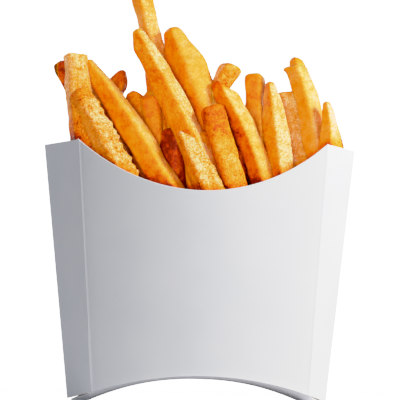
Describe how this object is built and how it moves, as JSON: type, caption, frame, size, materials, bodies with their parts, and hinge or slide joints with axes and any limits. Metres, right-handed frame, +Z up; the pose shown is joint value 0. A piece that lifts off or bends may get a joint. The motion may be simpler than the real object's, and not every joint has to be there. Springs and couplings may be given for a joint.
{
  "type": "french fries in a carton",
  "caption": "Upright open paperboard carton with a scooped rim and an arched foot, filled with french fries that stand and lean out of its top.",
  "frame": {"origin": "on the ground under the middle of the carton", "axes": "+Z up, +X to the right along the panels, and the front panel faces -Y"},
  "size_m": [0.1258, 0.049, 0.1669],
  "materials": {
    "board": "plain white coated paperboard, matt",
    "potato": "fried potato, golden to orange, with a slight sheen of oil"
  },
  "bodies": {
    "root": {"carton": "board", "fries": "potato"}
  },
  "joints": []
}
